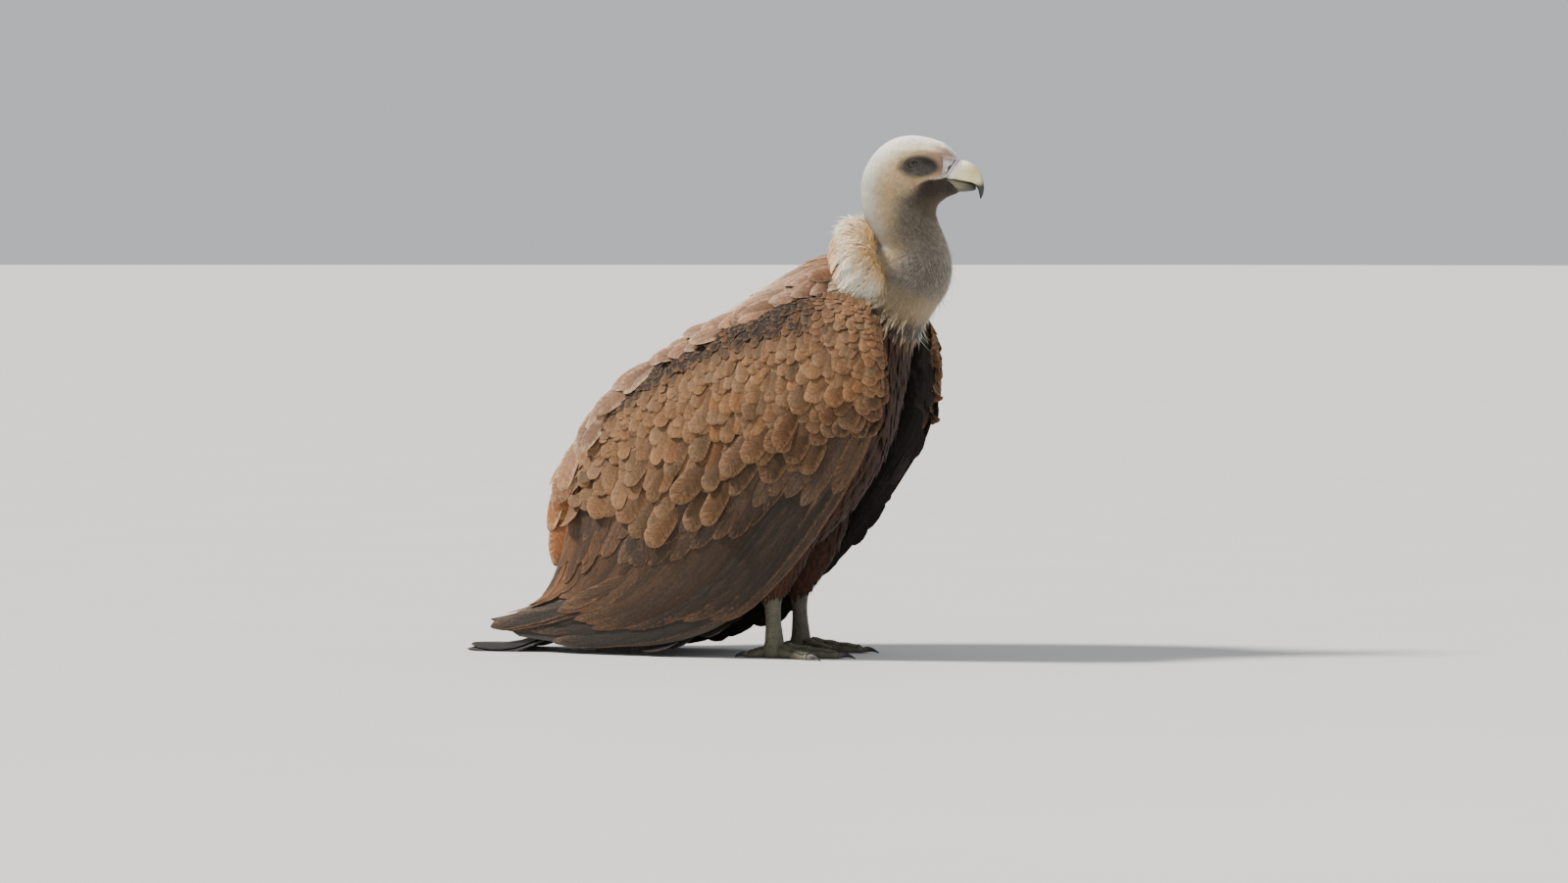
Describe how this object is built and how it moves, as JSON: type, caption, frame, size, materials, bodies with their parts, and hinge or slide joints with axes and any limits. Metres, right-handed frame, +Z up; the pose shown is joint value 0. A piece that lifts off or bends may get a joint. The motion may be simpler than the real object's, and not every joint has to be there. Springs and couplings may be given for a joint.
{
  "type": "griffon vulture life-size model",
  "caption": "Life-size still model of a griffon vulture standing upright with folded wings, head turned slightly left, wing tips and tail laid back along the floor.",
  "frame": {"origin": "bottom centre of the whole bird, on the floor under its body", "axes": "+X the way the bird's body faces, +Y to its left, +Z up"},
  "size_m": [0.7046, 0.3446, 0.6872],
  "materials": {
    "head_down": "short cream-white down",
    "neck_down": "short speckled grey-buff down",
    "crop_down": "short beige down",
    "ruff_feathers": "loose cream and tawny lance-shaped feathers",
    "back_feathers": "pale buff feathers with darker centres",
    "covert_feathers": "tan-brown feathers with pale edges",
    "flight_feathers": "dark brown vanes",
    "tail_feathers": "blackish vanes with pale shafts",
    "breast_feathers": "rufous-brown streaked feathers",
    "leg_skin": "grey-olive scaled skin",
    "bill_horn": "cream horn with a dark hook",
    "lower_bill_horn": "grey-olive horn",
    "claw_horn": "blackish horn",
    "eye": "wet brown eye"
  },
  "bodies": {
    "root": {"head": "head_down", "neck": "neck_down", "crop": "crop_down", "trunk": "breast_feathers", "ruff": "ruff_feathers", "mantle": "back_feathers", "tail": "tail_feathers", "bill_upper": "bill_horn", "bill_lower": "lower_bill_horn", "eye_right": "eye", "eye_left": "eye", "wing_right_coverts": "covert_feathers", "wing_left_coverts": "covert_feathers", "wing_right_primaries": "flight_feathers", "wing_left_primaries": "flight_feathers", "wing_right_secondaries": "flight_feathers", "wing_left_secondaries": "flight_feathers", "thigh_right": "breast_feathers", "thigh_left": "breast_feathers", "tarsus_right": "leg_skin", "tarsus_left": "leg_skin", "foot_right": "leg_skin", "foot_left": "leg_skin", "claw_right_inner": "claw_horn", "claw_right_middle": "claw_horn", "claw_right_outer": "claw_horn", "claw_right_hind": "claw_horn", "claw_left_inner": "claw_horn", "claw_left_middle": "claw_horn", "claw_left_outer": "claw_horn", "claw_left_hind": "claw_horn"}
  },
  "joints": []
}
